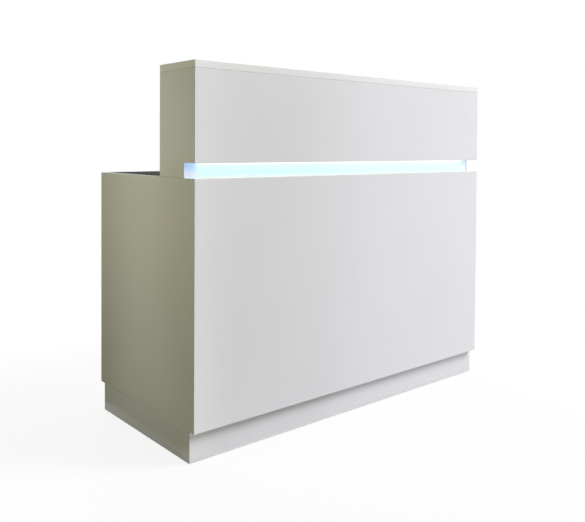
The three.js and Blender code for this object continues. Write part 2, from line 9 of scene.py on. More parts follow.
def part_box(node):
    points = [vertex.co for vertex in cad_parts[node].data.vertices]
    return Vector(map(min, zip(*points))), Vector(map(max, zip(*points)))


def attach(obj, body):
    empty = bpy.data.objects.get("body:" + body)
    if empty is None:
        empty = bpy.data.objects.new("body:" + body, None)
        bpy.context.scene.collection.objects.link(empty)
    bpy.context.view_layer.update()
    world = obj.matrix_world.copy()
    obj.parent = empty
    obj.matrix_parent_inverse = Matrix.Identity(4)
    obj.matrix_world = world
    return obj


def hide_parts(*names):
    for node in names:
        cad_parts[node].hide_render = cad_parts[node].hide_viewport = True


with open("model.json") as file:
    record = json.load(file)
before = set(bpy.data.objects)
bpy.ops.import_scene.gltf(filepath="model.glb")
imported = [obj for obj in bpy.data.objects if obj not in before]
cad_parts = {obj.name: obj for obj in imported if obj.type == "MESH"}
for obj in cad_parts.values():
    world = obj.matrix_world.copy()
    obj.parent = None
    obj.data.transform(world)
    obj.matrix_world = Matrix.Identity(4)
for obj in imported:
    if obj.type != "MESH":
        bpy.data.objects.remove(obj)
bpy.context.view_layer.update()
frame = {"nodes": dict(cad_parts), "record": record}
nodes = frame["nodes"]
scene = bpy.context.scene
scene.view_settings.view_transform = "Standard"

# camera: its place in metres, its turns in radians, and the focal length and principal point in pixels
shot = {
    "place": (-1.55748, -1.82887, 0.82986),
    "turn": 0.71779,
    "dip": 0.02298,
    "roll": -0.00692,
    "focal": 706.42,
    "principal": (312.49, 162.83),
    "image": (585, 522),
    "sensor": 36.0,
}


def addCamera(view):
    turn, dip, roll = view["turn"], view["dip"], view["roll"]
    ahead = Vector((math.sin(turn) * math.cos(dip), math.cos(turn) * math.cos(dip), -math.sin(dip)))
    right = Vector((math.cos(turn), -math.sin(turn), 0))
    down = ahead.cross(right)
    across = math.cos(roll) * right + math.sin(roll) * down
    below = math.cos(roll) * down - math.sin(roll) * right
    facing = Matrix((across, -below, -ahead)).transposed().to_4x4()
    data = bpy.data.cameras.new("camera")
    camera = bpy.data.objects.new("camera", data)
    scene.collection.objects.link(camera)
    camera.matrix_world = Matrix.Translation(view["place"]) @ facing
    wide, high = view["image"]
    data.sensor_width = view["sensor"]
    data.lens = view["focal"] * view["sensor"] / wide
    data.shift_x = (wide / 2 - view["principal"][0]) / wide
    data.shift_y = (view["principal"][1] - high / 2) / wide
    scene.camera = camera


addCamera(shot)
print("camera placed")


class Wire:  # a shader socket: arithmetic on it adds Math nodes, and node() adds any other
    def __init__(self, tree, socket=None):
        self.tree = tree
        self.socket = socket

    def node(self, kind, inputs=None, output=0, **settings):
        made = self.tree.nodes.new("ShaderNode" + kind)
        for name, value in settings.items():
            setattr(made, name, value)
        for name, value in (inputs or {}).items():
            if isinstance(value, Wire):
                self.tree.links.new(value.socket, made.inputs[name])
            else:
                made.inputs[name].default_value = value
        return Wire(self.tree, made.outputs[output] if made.outputs else None)

    def math(self, operation, first, second=0.0):
        return self.node("Math", {0: first, 1: second}, operation=operation)

    def __add__(self, other):
        return self.math("ADD", self, other)

    def __sub__(self, other):
        return self.math("SUBTRACT", self, other)

    def __rsub__(self, other):
        return self.math("SUBTRACT", other, self)

    def __mul__(self, other):
        return self.math("MULTIPLY", self, other)

    def __truediv__(self, other):
        return self.math("DIVIDE", self, other)

    def __neg__(self):
        return self * -1.0

    def __abs__(self):
        return self.math("ABSOLUTE", self)

    __radd__ = __add__
    __rmul__ = __mul__

    def root(self):
        return self.math("SQRT", self)

    def larger(self, other):
        return self.math("MAXIMUM", self, other)

    def folded(self, span):  # rises from 0 to span and falls back, over and over
        return self.math("PINGPONG", self, span)

    def step(self, low, high):  # 0 below low, 1 above high, and a smooth rise between
        inputs = {"Value": self, "From Min": low, "From Max": high}
        return self.node("MapRange", inputs, interpolation_type="SMOOTHSTEP")

    def spread(self, least, extra):  # least where this is 0, and extra more where it is 1
        return least + self * extra

    def place(self):
        return self.node("TexCoord", output="Object")

    def axes(self):
        parts = self.node("SeparateXYZ", {0: self.place()})
        return [Wire(self.tree, parts.socket.node.outputs[i]) for i in range(3)]

    def noise(self, scale, detail=2.0, stretch=(1, 1, 1), rough=0.5):
        at = self.node("Mapping", {"Vector": self.place(), "Scale": stretch})
        return self.node("TexNoise", {"Vector": at, "Scale": scale, "Detail": detail, "Roughness": rough})

    def blend(self, factor, first, second):
        return self.node("Mix", {0: factor, 6: first, 7: second}, 2, data_type="RGBA")

    def bump(self, height, depth):
        return self.node("Bump", {"Height": height, "Distance": depth}, "Normal")


def rgb(red, green, blue):
    return (red, green, blue, 1.0)


# A finish: fixed values go on the shader's own sockets, and vary(wire) gives what changes over the surface.
# In the dictionaries below, a noise is its scale, detail, stretch and roughness, as far as they are given, a
# value that ends in Step is where a smooth step starts and ends, rough is the least roughness and what a
# noise adds to it, and depth is the height of the bumps in metres.
def makeFinish(name, fixed, vary):
    material = bpy.data.materials.new(name)
    material.use_nodes = True
    tree = material.node_tree
    shader = tree.nodes["Principled BSDF"]
    for socket, value in fixed.items():
        shader.inputs[socket].default_value = value
    for socket, wire in vary(Wire(tree)).items():
        tree.links.new(wire.socket, shader.inputs[socket])
    return material


# gloss lacquer: orange peel, grey clouding in the white as painted mottled reflection, and wiping marks in
# the shine
lacquer = {
    "white": rgb(0.84, 0.84, 0.84),
    "mottledReflection": rgb(0.82, 0.82, 0.815),
    "cloud": (2.2, 3.0),
    "cloudStep": (0.35, 0.7),
    "wipe": (7.0, 4.0, (1, 1, 0.35)),
    "wipeStep": (0.5, 0.8),
    "rough": (0.13, 0.05),
    "finePeel": (260.0, 1.0),
    "coarsePeel": (45.0, 1.0),
    "coarseShare": 1.6,
    "depth": 2.2e-5,
}
# a paler, creamier copy of the same white lacquer for the hutch's top: painted light for its brighter band
paintedLightLacquer = {**lacquer, "white": rgb(0.925, 0.915, 0.885), "mottledReflection": rgb(0.905, 0.895, 0.865)}


def lacquerVary(film):
    def vary(w):
        # cloud masks the painted mottled reflection: greyer patches in the white
        cloud = w.noise(*film["cloud"]).step(*film["cloudStep"])
        wipe = w.noise(*film["wipe"]).step(*film["wipeStep"])
        peel = w.noise(*film["finePeel"]) + w.noise(*film["coarsePeel"]) * film["coarseShare"]
        return {
            "Base Color": w.blend(cloud, film["white"], film["mottledReflection"]),
            "Roughness": wipe.spread(*film["rough"]),
            "Normal": w.bump(peel, film["depth"]),
        }

    return vary


# satin melamine: a fine pearl emboss and a few scuffs
melamine = {
    "white": rgb(0.78, 0.78, 0.76),
    "scuffed": rgb(0.72, 0.715, 0.69),
    "scuff": (18.0, 5.0, (1, 0.25, 1)),
    "scuffStep": (0.6, 0.85),
    "sheen": (9.0,),
    "rough": (0.4, 0.12),
    "pearl": (1400.0, 2.0),
    "depth": 3.0e-5,
}


def melamineVary(w):
    scuff = w.noise(*melamine["scuff"]).step(*melamine["scuffStep"])
    return {
        "Base Color": w.blend(scuff, melamine["white"], melamine["scuffed"]),
        "Roughness": w.noise(*melamine["sheen"]).spread(*melamine["rough"]),
        "Normal": w.bump(w.noise(*melamine["pearl"]), melamine["depth"]),
    }


# charcoal laminate: a slate emboss with paler flecks and clouds
laminate = {
    "dark": rgb(0.02, 0.02, 0.0175),
    "pale": rgb(0.045, 0.045, 0.041),
    "fleck": (600.0, 3.0, (1, 1, 1), 0.7),
    "fleckStep": (0.5, 0.8),
    "fleckShare": 0.5,
    "cloud": (14.0, 4.0),
    "cloudStep": (0.4, 0.8),
    "cloudShare": 0.3,
    "rough": (0.5, 0.14),
    "slate": (420.0, 4.0),
    "depth": 6.0e-5,
}


def laminateVary(w):
    fleck = w.noise(*laminate["fleck"]).step(*laminate["fleckStep"]) * laminate["fleckShare"]
    cloud = w.noise(*laminate["cloud"])
    paler = fleck + cloud.step(*laminate["cloudStep"]) * laminate["cloudShare"]
    return {
        "Base Color": w.blend(paler, laminate["dark"], laminate["pale"]),
        "Roughness": cloud.spread(*laminate["rough"]),
        "Normal": w.bump(w.noise(*laminate["slate"]), laminate["depth"]),
    }


# opal acrylic, lit from behind: each light is given as its lower and its upper colour. The core's and the
# grooves' upper colours are brighter, painted light against the shade the hutch's overhang throws on the
# slot's top. The core is whiter farther along and white by both grooves, the ends past the last chips have a
# painted glow, blue above and lilac below, and the right end is darkened by painted shade.
opal = {
    "sheet": rgb(0.42, 0.50, 0.52),
    "haze": rgb(0.38, 0.46, 0.49),
    "clouding": (120.0,),
    "core": (rgb(0.48, 0.75, 0.72), rgb(0.51, 0.88, 0.84)),
    "farCore": (rgb(0.56, 0.75, 0.74), rgb(0.61, 0.87, 0.86)),
    "alongStep": (-0.25, 0.1),
    "groove": (rgb(0.64, 0.73, 0.69), rgb(0.96, 1.0, 0.98)),
    "end": (rgb(0.58, 0.64, 0.73), rgb(0.27, 0.42, 0.72)),
    "pastStep": (0.552, 0.580),
    "rightShare": 0.8,
    "middle": 0.765,
    "upStep": (-0.016, 0.016),
    "grooveStep": (0.011, 0.018),
    "ripple": (9.0, 2.0, (1, 0, 0)),
    "rippleShare": 0.2,
    "sawn": rgb(0.14, 0.14, 0.2),
    "sawnStep": (0.587, 0.594),
    "dulling": (60.0,),
    "rough": (0.32, 0.1),
}


def opalVary(w):
    x, _, z = w.axes()
    up = z - opal["middle"]
    # rise turns to the upper colours, which carry painted light against the overhang's shade
    rise = up.step(*opal["upStep"])
    core, farCore, groove, end = (w.blend(rise, *opal[name]) for name in ("core", "farCore", "groove", "end"))
    along = w.blend(x.step(*opal["alongStep"]), core, farCore)
    white = abs(up).step(*opal["grooveStep"]) + w.noise(*opal["ripple"]) * opal["rippleShare"]
    # past marks the ends beyond the last chips, which get a painted glow
    past = (-x).step(*opal["pastStep"]) + x.step(*opal["pastStep"]) * opal["rightShare"]
    lit = w.blend(past, w.blend(white, along, groove), end)
    return {
        "Base Color": w.blend(w.noise(*opal["clouding"]), opal["sheet"], opal["haze"]),
        # the right end is darkened with painted shade
        "Emission Color": w.blend(x.step(*opal["sawnStep"]), lit, opal["sawn"]),
        "Roughness": w.noise(*opal["dulling"]).spread(*opal["rough"]),
    }


# anodised aluminium, brushed along the bar
aluminium = {
    "bright": rgb(0.66, 0.67, 0.68),
    "dull": rgb(0.54, 0.55, 0.56),
    "brush": (6.0, 4.0, (4, 300, 300)),
    "rough": (0.24, 0.16),
    "depth": 1.2e-5,
}


def aluminiumVary(w):
    brush = w.noise(*aluminium["brush"])
    return {
        "Base Color": w.blend(brush, aluminium["dull"], aluminium["bright"]),
        "Roughness": brush.spread(*aluminium["rough"]),
        "Normal": w.bump(brush, aluminium["depth"]),
    }


# bright zinc plate: rolled streaks and a faint blue-yellow bloom
zinc = {
    "cool": rgb(0.52, 0.55, 0.58),
    "warm": rgb(0.56, 0.54, 0.46),
    "bloom": (35.0, 3.0),
    "bloomStep": (0.4, 0.75),
    "streak": (5.0, 3.0, (120, 6, 120)),
    "rough": (0.26, 0.2),
    "grain": (700.0,),
    "grainShare": 0.5,
    "depth": 1.5e-5,
}


def zincVary(w):
    bloom = w.noise(*zinc["bloom"]).step(*zinc["bloomStep"])
    streak = w.noise(*zinc["streak"])
    return {
        "Base Color": w.blend(bloom, zinc["cool"], zinc["warm"]),
        "Roughness": streak.spread(*zinc["rough"]),
        "Normal": w.bump(streak + w.noise(*zinc["grain"]) * zinc["grainShare"], zinc["depth"]),
    }


# powder coat: a fine leathery texture, thinner in patches
powder = {
    "white": rgb(0.70, 0.70, 0.68),
    "thin": rgb(0.63, 0.63, 0.61),
    "patch": (24.0, 3.0),
    "patchStep": (0.5, 0.9),
    "grain": (900.0, 2.0),
    "rough": (0.42, 0.12),
    "depth": 4.5e-5,
}


def powderVary(w):
    patch = w.noise(*powder["patch"]).step(*powder["patchStep"])
    grain = w.noise(*powder["grain"])
    return {
        "Base Color": w.blend(patch, powder["white"], powder["thin"]),
        "Roughness": grain.spread(*powder["rough"]),
        "Normal": w.bump(grain, powder["depth"]),
    }


# nickel plate with hairline wipe marks
nickel = {
    "bright": rgb(0.66, 0.64, 0.60),
    "worn": rgb(0.52, 0.50, 0.46),
    "hair": (40.0, 6.0, (30, 1, 6), 0.7),
    "hairStep": (0.55, 0.8),
    "rough": (0.12, 0.14),
    "depth": 4.0e-6,
}


def nickelVary(w):
    hair = w.noise(*nickel["hair"])
    return {
        "Base Color": w.blend(hair.step(*nickel["hairStep"]), nickel["bright"], nickel["worn"]),
        "Roughness": hair.spread(*nickel["rough"]),
        "Normal": w.bump(hair, nickel["depth"]),
    }


# moulded plastics: spark-eroded texture, paler on the high spots
moulded = {
    "black": (rgb(0.016, 0.016, 0.017), rgb(0.03, 0.03, 0.032)),
    "grey": (rgb(0.26, 0.27, 0.28), rgb(0.33, 0.34, 0.35)),
    "grain": (1500.0, 2.0),
    "grainStep": (0.4, 0.8),
    "highShare": 0.6,
    "rough": (0.36, 0.2),
    "depth": 4.0e-5,
}


def mouldedVary(colour):
    def vary(w):
        grain = w.noise(*moulded["grain"])
        return {
            "Base Color": w.blend(grain.step(*moulded["grainStep"]) * moulded["highShare"], *moulded[colour]),
            "Roughness": grain.spread(*moulded["rough"]),
            "Normal": w.bump(grain, moulded["depth"]),
        }

    return vary


# rubber: dusty bloom on black
rubber = {
    "black": rgb(0.011, 0.011, 0.011),
    "dusty": rgb(0.035, 0.034, 0.032),
    "dust": (90.0, 5.0),
    "dustStep": (0.5, 0.85),
    "rough": (0.68, 0.2),
    "grain": (1100.0,),
    "depth": 3.0e-5,
}


def rubberVary(w):
    dust = w.noise(*rubber["dust"])
    return {
        "Base Color": w.blend(dust.step(*rubber["dustStep"]), rubber["black"], rubber["dusty"]),
        "Roughness": dust.spread(*rubber["rough"]),
        "Normal": w.bump(w.noise(*rubber["grain"]), rubber["depth"]),
    }


# cable sheath: extruded white, a little yellowed
sheath = {
    "white": rgb(0.80, 0.80, 0.77),
    "yellowed": rgb(0.76, 0.74, 0.66),
    "age": (30.0, 3.0),
    "sheen": (200.0,),
    "rough": (0.42, 0.1),
    "grain": (900.0, 2.0),
    "depth": 1.5e-5,
}


def sheathVary(w):
    return {
        "Base Color": w.blend(w.noise(*sheath["age"]), sheath["white"], sheath["yellowed"]),
        "Roughness": w.noise(*sheath["sheen"]).spread(*sheath["rough"]),
        "Normal": w.bump(w.noise(*sheath["grain"]), sheath["depth"]),
    }


# light tape: white strip, copper pads midway between the chips, yellow phosphor on the chips' raised faces
tape = {
    "strip": rgb(0.85, 0.85, 0.82),
    "pad": rgb(0.60, 0.33, 0.15),
    "phosphor": rgb(0.88, 0.72, 0.18),
    "pitch": 0.1 / 3,
    "padWideStep": (0.0012, 0.0016),
    "padHighStep": (0.003, 0.0034),
    "faceStep": (-0.1912, -0.1910),
    "sheen": (300.0,),
    "rough": (0.35, 0.15),
    "grain": (800.0,),
    "depth": 1.5e-5,
}


def tapeVary(w):
    x, y, z = w.axes()
    along = x.folded(tape["pitch"] / 2)
    across = 1 - abs(along - tape["pitch"] / 2).step(*tape["padWideStep"])
    pads = across * (1 - abs(z - opal["middle"]).step(*tape["padHighStep"]))
    raised = 1 - y.step(*tape["faceStep"])
    return {
        "Base Color": w.blend(raised, w.blend(pads, tape["strip"], tape["pad"]), tape["phosphor"]),
        "Roughness": w.noise(*tape["sheen"]).spread(*tape["rough"]),
        "Normal": w.bump(w.noise(*tape["grain"]), tape["depth"]),
    }


# planed softwood: growth rings stretched along the batten, and fibres
softwood = {
    "early": rgb(0.60, 0.43, 0.23),
    "late": rgb(0.42, 0.25, 0.10),
    "ring": (26.0, 3.0, (4, 0.12, 4)),
    "ringCount": 11.0,
    "lateStep": (0.45, 0.95),
    "fibre": (30.0, 4.0, (20, 1, 20)),
    "rough": (0.6, 0.2),
    "ringShare": 0.4,
    "depth": 8.0e-5,
}


def softwoodVary(w):
    line = (w.noise(*softwood["ring"]) * softwood["ringCount"]).folded(1.0)
    fibre = w.noise(*softwood["fibre"])
    return {
        "Base Color": w.blend(line.step(*softwood["lateStep"]), softwood["early"], softwood["late"]),
        "Roughness": fibre.spread(*softwood["rough"]),
        "Normal": w.bump(fibre + line * softwood["ringShare"], softwood["depth"]),
    }


gloss = {"IOR": 1.46}
backlit = {"Emission Strength": 1.0, "IOR": 1.49}
metal = {"Metallic": 1.0}
matt = {"Specular IOR Level": 0.02}
dusted = {"Specular IOR Level": 0.3}
finishes = {
    "white_lacquer": makeFinish("whiteLacquer", gloss, lacquerVary(lacquer)),
    "white_melamine": makeFinish("whiteMelamine", {}, melamineVary),
    "dark_laminate": makeFinish("charcoalLaminate", matt, laminateVary),
    "opal_acrylic": makeFinish("opalAcrylic", backlit, opalVary),
    "aluminium": makeFinish("brushedAluminium", metal, aluminiumVary),
    "zinc_steel": makeFinish("zincPlate", metal, zincVary),
    "white_steel": makeFinish("powderCoat", {}, powderVary),
    "nickel": makeFinish("nickelPlate", metal, nickelVary),
    "black_plastic": makeFinish("blackPlastic", {}, mouldedVary("black")),
    "grey_plastic": makeFinish("greyPlastic", {}, mouldedVary("grey")),
    "black_rubber": makeFinish("blackRubber", dusted, rubberVary),
    "white_cable": makeFinish("cableSheath", {}, sheathVary),
    "led_tape": makeFinish("ledTape", {}, tapeVary),
    "softwood": makeFinish("planedSoftwood", {}, softwoodVary),
}

for entry in frame["record"]["subparts"]:
    slots = nodes[entry["node"]].data.materials
    slots.clear()
    slots.append(finishes[entry["material_slot"]])
# the hutch's top takes the paler copy, painted light on the same white lacquer
nodes["hutch_top"].data.materials[0] = makeFinish("paintedLightLacquer", gloss, lacquerVary(paintedLightLacquer))

mm = 0.001


# The angles of a full turn in even steps
def fullTurn(points):
    return np.linspace(0, 2 * np.pi, points, endpoint=False)


# Rounds an outline's corners: a corner c between a and b, which lie a reach away along its two sides, or a
# share of the shorter side if that is less, becomes the curve (1 - t)^2 a + 2 t (1 - t) c + t^2 b. An open
# line keeps its two ends.
def roundCorners(points, reach, steps=7, closed=True, share=0.45):
    corner = np.asarray(points, float)
    back, ahead = np.roll(corner, 1, 0) - corner, np.roll(corner, -1, 0) - corner
    backLength, aheadLength = np.linalg.norm(back, axis=1), np.linalg.norm(ahead, axis=1)
    cut = np.minimum(reach, share * np.minimum(backLength, aheadLength))
    a = corner + back * (cut / backLength)[:, None]
    b = corner + ahead * (cut / aheadLength)[:, None]
    t = np.linspace(0, 1, steps)[None, :, None]
    curve = (1 - t) ** 2 * a[:, None] + 2 * t * (1 - t) * corner[:, None] + t**2 * b[:, None]
    if closed:
        return curve.reshape(-1, 2)
    return np.vstack([corner[:1], curve[1:-1].reshape(-1, 2), corner[-1:]])


# Points at equal distances along a closed outline
def evenPoints(outline, count):
    closed = np.vstack([outline, outline[:1]])
    run = np.concatenate([[0], np.cumsum(np.linalg.norm(np.diff(closed, axis=0), axis=1))])
    at = np.linspace(0, run[-1], count, endpoint=False)
    return np.stack([np.interp(at, run, closed[:, i]) for i in range(2)], 1)


# A counter-clockwise outline moved inwards: where it runs along (dx, dy), by a distance along (-dy, dx)
def inset(outline, distance):
    way = np.roll(outline, -1, 0) - np.roll(outline, 1, 0)
    way /= np.linalg.norm(way, axis=1)[:, None]
    return outline + distance * np.stack([-way[:, 1], way[:, 0]], 1)


# A closed skin over a stack of loops: point (i, j) is point j of loop i, and quads join the neighbours.
# A ring's last loop joins its first, and any other stack ends in two flat faces. The sign of the enclosed
# volume, the sum of a . (b x c) over the triangles, turns all faces outwards.
def skin(loops, ring=False):
    loops = np.asarray(loops, float)
    rows, points = loops.shape[:2]
    index = np.arange(rows * points).reshape(rows, points)
    low, high = (index, np.roll(index, -1, 0)) if ring else (index[:-1], index[1:])
    quads = np.stack([low, np.roll(low, -1, 1), np.roll(high, -1, 1), high], -1).reshape(-1, 4)
    ends = [] if ring else [index[0, ::-1], index[-1]]
    spot = loops.reshape(-1, 3)
    centred = spot - spot.mean(0)
    fans = [np.stack([np.full(points - 2, e[0]), e[1:-1], e[2:]], 1) for e in ends]
    tris = np.vstack([quads[:, [0, 1, 2]], quads[:, [0, 2, 3]], *fans])
    a, b, c = (centred[tris[:, i]] for i in range(3))
    faces = quads.tolist() + [e.tolist() for e in ends]
    if np.einsum("ij,ij->", a, np.cross(b, c)) < 0:
        faces = [face[::-1] for face in faces]
    return spot, faces


# Loops about Z: point (i, f) is r(i, f) cos f across, r(i, f) sin f along, and h(i) up
def circleLoops(radii, angle, height):
    rise = np.broadcast_to(np.asarray(height)[:, None], radii.shape)
    return np.stack([radii * np.cos(angle), radii * np.sin(angle), rise], -1)


# A profile of (radius, height) turned about Z, with the radius the same at all angles
def turned(profile, points, ring=False):
    angle = fullTurn(points)
    radius, height = np.asarray(profile, float).T
    return skin(circleLoops(radius[:, None] * np.ones_like(angle), angle, height), ring)


# A box's edge about its middle: r(f) is the lesser of half its width / |cos f| and half its height / |sin f|
def boxRadius(angle, halfWide, halfTall, tiny=1e-9):
    across, up = (np.maximum(abs(part), tiny) for part in (np.cos(angle), np.sin(angle)))
    return np.minimum(halfWide / across, halfTall / up)


# A flat plate: an outline carried straight up from low to high. Towards each rim it is set in by the ease,
# with a step between at a share of it, so that the rim is rounded.
def plate(outline, low, high, ease, share=0.3):
    steps = [(ease, low), (ease * share, low + ease * share), (0, low + ease)]
    steps += [(0, high - ease), (ease * share, high - ease * share), (ease, high)]
    loops = [np.column_stack([inset(outline, by), np.full(len(outline), at)]) for by, at in steps]
    return skin(loops)


# Stands a part made about Z on a place, with its Z along the given axis
def stand(part, place, way=(0, 0, 1)):
    spot, faces = part
    w = np.array(way, float)
    u = np.array((1.0, 0, 0)) if w[1] else np.cross((0, 1, 0), w)
    return spot @ np.stack([u, np.cross(w, u), w]) + np.array(place, float), faces


# The middle of a face of a node's box: the upper one along an axis, or the lower one
def faceMiddle(node, axis, upper=True):
    low, high = (np.array(corner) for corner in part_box(node))
    place = (low + high) / 2
    at = "xyz".index(axis)
    place[at] = high[at] if upper else low[at]
    return place


# One object from several parts: it rides on a body, takes a slot's finish, and may stand for CAD nodes.
# Edges sharper than an angle in degrees stay sharp.
def makePiece(name, parts, body, slot, *stoodFor, sharp=35):
    offsets = np.cumsum([0] + [len(spot) for spot, _ in parts])
    spots = np.vstack([spot for spot, _ in parts])
    faces = [[i + int(first) for i in face] for (_, made), first in zip(parts, offsets) for face in made]
    mesh = bpy.data.meshes.new(name)
    mesh.from_pydata(spots, [], faces)
    mesh.shade_smooth()
    mesh.set_sharp_from_angle(angle=math.radians(sharp))
    mesh.materials.append(finishes[slot])
    piece = bpy.data.objects.new(name, mesh)
    scene.collection.objects.link(piece)
    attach(piece, body)
    if stoodFor:
        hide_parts(*stoodFor)


# cable grommet: a ring let into the worktop, with an inner ledge that the cap lies on. Here and below, a
# piece's own lengths are in millimetres.
grommet = {
    "sleeve": 30,
    "lip": 35,
    "bevel": 0.8,
    "flange": 2,
    "bore": 28,
    "ledge": 26,
    "ledgeTop": 3.3,
    "ledgeFoot": 5.3,
    "ledgeTaper": 7.3,
    "depth": 20.25,
    "round": 0.5,
    "roundSteps": 5,
    "points": 96,
}


def addGrommetRing():
    g = grommet
    profile = [(g["sleeve"], -g["depth"]), (g["sleeve"], -g["flange"]), (g["lip"], -g["flange"])]
    profile += [(g["lip"] - g["bevel"], 0), (g["bore"], 0), (g["bore"], -g["ledgeTop"])]
    profile += [(g["ledge"], -g["ledgeTop"]), (g["ledge"], -g["ledgeFoot"]), (g["bore"], -g["ledgeTaper"])]
    profile += [(g["bore"], -g["depth"])]
    ring = turned(roundCorners(profile, g["round"], g["roundSteps"]) * mm, g["points"], ring=True)
    place = faceMiddle("grommet_ring", "z")
    makePiece("grommet_ring_turned", [stand(ring, place)], "carcass", "grey_plastic", "grommet_ring")


addGrommetRing()

# the grommet's cap: a disc with a notch for the cables
cap = {
    "rim": 27.7,
    "notchHalf": 11,
    "notchEnd": 13.7,
    "corner": 2.5,
    "thick": 3,
    "ease": 0.45,
    "arcPoints": 120,
    "points": 180,
}


def addGrommetCap():
    c = cap
    half = math.asin(c["notchHalf"] / c["rim"])
    angle = np.linspace(np.pi / 2 + half, np.pi / 2 - half + 2 * np.pi, c["arcPoints"])
    arc = c["rim"] * np.stack([np.cos(angle), np.sin(angle)], 1)
    notch = [arc[-1], (c["notchHalf"], c["notchEnd"]), (-c["notchHalf"], c["notchEnd"]), arc[0]]
    outline = np.vstack([arc, roundCorners(notch, c["corner"], closed=False)[1:-1]])
    disc = plate(evenPoints(outline, c["points"]) * mm, -c["thick"] * mm, 0, c["ease"] * mm)
    place = faceMiddle("grommet_ring", "z")
    makePiece("grommet_cap_turned", [stand(disc, place)], "cap", "grey_plastic", "grommet_cap")


addGrommetCap()

# bow handles: a rounded flat-bar section carried along a bent path
bow = {"bar": 8, "edge": 1.2, "edgeSteps": 5, "bend": 11, "bendSteps": 14}


# Along a path p(s) with the normal n(s), point (s, j) of the bar is p(s) + u(j) n(s) in plan and v(j) up,
# where (u, v) is the section
def addHandle(drawer):
    low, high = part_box(drawer + "_handle")
    half = (bow["bar"] / 2) * mm
    deep = high.y - half
    bends = [(low.x + half, low.y), (low.x + half, deep), (high.x - half, deep), (high.x - half, low.y)]
    path = roundCorners(bends, bow["bend"] * mm, bow["bendSteps"], closed=False)
    way = np.gradient(path, axis=0)
    way /= np.linalg.norm(way, axis=1)[:, None]
    out = np.stack([-way[:, 1], way[:, 0]], 1)
    tall = (high.z - low.z) / 2
    box = [(-half, -tall), (half, -tall), (half, tall), (-half, tall)]
    section = roundCorners(box, bow["edge"] * mm, bow["edgeSteps"])
    plan = path[:, None] + out[:, None] * section[None, :, :1]
    rise = np.broadcast_to(section[None, :, 1:] + (low.z + tall), plan.shape[:2] + (1,))
    bar = skin(np.concatenate([plan, rise], 2))
    makePiece(drawer + "_bow", [bar], drawer, "aluminium", drawer + "_handle")


drawers = ("file_drawer", "middle_drawer", "top_drawer")
for drawer in drawers:
    addHandle(drawer)

# cam lock: a rosette round the plug
rosette = {
    "body": 8,
    "tail": 24.25,
    "rim": 11,
    "thick": 2,
    "bevel": 0.9,
    "bore": 5.75,
    "mouth": 0.8,
    "round": 0.5,
    "roundSteps": 5,
    "points": 72,
}


def addLockRosette():
    k = rosette
    profile = [(k["body"], -k["tail"]), (k["body"], -k["thick"]), (k["rim"], -k["thick"])]
    profile += [(k["rim"] - k["bevel"], 0), (k["bore"] + k["mouth"], 0), (k["bore"], -k["mouth"])]
    profile += [(k["bore"], -k["tail"])]
    ring = turned(roundCorners(profile, k["round"], k["roundSteps"]) * mm, k["points"], ring=True)
    place = faceMiddle("lock_housing", "y")
    makePiece("lock_rosette", [stand(ring, place, (0, 1, 0))], "top_drawer", "nickel", "lock_housing")


addLockRosette()

# the lock's plug: a keyway sunk in its face, and the tongue behind
plug = {
    "radius": 5.5,
    "bevel": 0.4,
    "keyway": (0.55, 3.5),
    "lip": 0.35,
    "lipDrop": 0.05,
    "sunk": 4,
    "points": 72,
    "rear": 28.25,
    "tongue": (22, 5.5),
    "tongueThick": 2,
    "tongueRounds": [0.5, 3, 3, 0.5],
    "tongueEase": 0.3,
    "tonguePoints": 96,
}


# The face runs in from the plug's round rim to the keyway's box, and down into it
def addLockPlug():
    k = plug
    angle = fullTurn(k["points"])
    rim = np.full_like(angle, k["radius"])
    keyway = boxRadius(angle, *k["keyway"])
    radii = np.array([rim, rim, rim - k["bevel"], keyway + k["lip"], keyway, keyway])
    heights = [-k["rear"], -k["bevel"], 0, -k["lipDrop"], -k["lip"], -k["sunk"]]
    barrel = skin(circleLoops(radii, angle, heights) * mm)
    reach, half = k["tongue"]
    blade = roundCorners([(0, -half), (reach, -half), (reach, half), (0, half)], k["tongueRounds"])
    outline = evenPoints(blade, k["tonguePoints"]) * mm
    front = k["tongueThick"] - k["rear"]
    tongue = plate(outline, -k["rear"] * mm, front * mm, k["tongueEase"] * mm)
    place = faceMiddle("lock_housing", "y")
    parts = [stand(part, place, (0, 1, 0)) for part in (barrel, tongue)]
    makePiece("lock_plug_turned", parts, "lock", "nickel", "lock_plug")


addLockPlug()

# rubber gland in the back rail of the light box
gland = {
    "wall": 7,
    "depth": 20.25,
    "flange": 11,
    "thick": 2,
    "face": 8,
    "bore": 4.5,
    "round": 0.8,
    "roundSteps": 6,
    "points": 64,
}


def addGland():
    g = gland
    profile = [(g["wall"], -g["depth"]), (g["wall"], -g["thick"]), (g["flange"], -g["thick"])]
    profile += [(g["face"], 0), (g["bore"], 0), (g["bore"], -g["depth"])]
    tube = turned(roundCorners(profile, g["round"], g["roundSteps"]) * mm, g["points"], ring=True)
    place = faceMiddle("cable_gland", "y")
    makePiece("cable_gland_ring", [stand(tube, place, (0, 1, 0))], "carcass", "black_rubber", "cable_gland")


addGland()

# rocker of the switch: dished across the top, tilted in degrees, and pivoted below the bezel's face
rocker = {
    "reach": 7.5,
    "rise": 3,
    "dip": 1.5,
    "shoulder": 1,
    "depth": 5,
    "rounds": [0.4, 1, 0.4, 0.7, 5, 0.7],
    "roundSteps": 9,
    "points": 120,
    "half": 4.5,
    "ease": 0.35,
    "tilt": 8,
    "pivot": 1.75,
}


